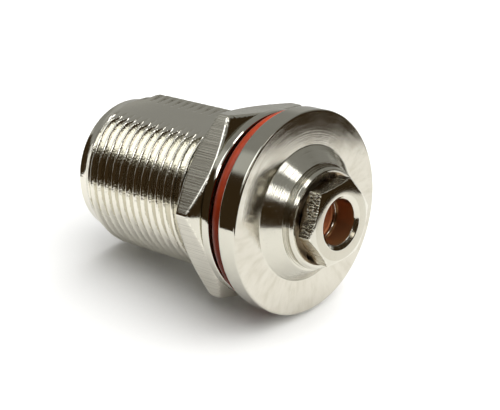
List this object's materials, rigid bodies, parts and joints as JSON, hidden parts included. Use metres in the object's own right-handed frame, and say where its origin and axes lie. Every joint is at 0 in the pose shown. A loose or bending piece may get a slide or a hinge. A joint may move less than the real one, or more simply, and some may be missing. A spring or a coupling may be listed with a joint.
{
  "type": "n type connector",
  "caption": "Coaxial bulkhead jack: threaded socket barrel with a flat, flange, panel nut, washer and seal, and a screwed cable clamp behind.",
  "frame": {"origin": "centre of the flange's front face, which seats against the panel", "axes": "+X along the connector's axis towards the cable end, so the socket points to -X, and +Z out of the flat milled along the barrel"},
  "size_m": [0.0293, 0.02, 0.0202],
  "materials": {
    "nickel": "nickel plated brass, turned and polished",
    "gold": "gold plated",
    "bead": "white, turned",
    "seal_rubber": "red silicone, moulded"
  },
  "bodies": {
    "jack": {"jack_body": "nickel", "front_insulator": "bead", "centre_contact": "gold", "rear_insulator": "bead", "braid_clamp": "nickel", "cable_gasket": "seal_rubber", "panel_seal": "seal_rubber"},
    "washer": {"panel_washer": "nickel"},
    "nut": {"panel_nut": "nickel"},
    "slip_ring": {"slip_washer": "nickel"},
    "clamp": {"clamp_nut": "nickel"}
  },
  "joints": [
    {"name": "washer_travel", "type": "slide", "parent": "jack", "child": "washer", "axis": [-1, 0, 0], "range_m": [-0.00041, 0.01693]},
    {"name": "panel_nut_spin", "type": "hinge", "parent": "washer", "child": "nut", "pos_m": [-0.00455, 0, 0], "axis": [-1, 0, 0], "range_deg": [-140, 5760]},
    {"name": "slip_washer_travel", "type": "slide", "parent": "jack", "child": "slip_ring", "axis": [1, 0, 0], "range_m": [0, 0.00255]},
    {"name": "clamp_nut_spin", "type": "hinge", "parent": "slip_ring", "child": "clamp", "pos_m": [0.0055, 0, 0], "axis": [1, 0, 0], "range_deg": [0, 1224.5]}
  ],
  "couplings": [
    {"joint": "panel_nut_spin", "follows": "washer_travel", "rad_per_m": 5936.9},
    {"joint": "clamp_nut_spin", "follows": "slip_washer_travel", "rad_per_m": 8377.6}
  ]
}
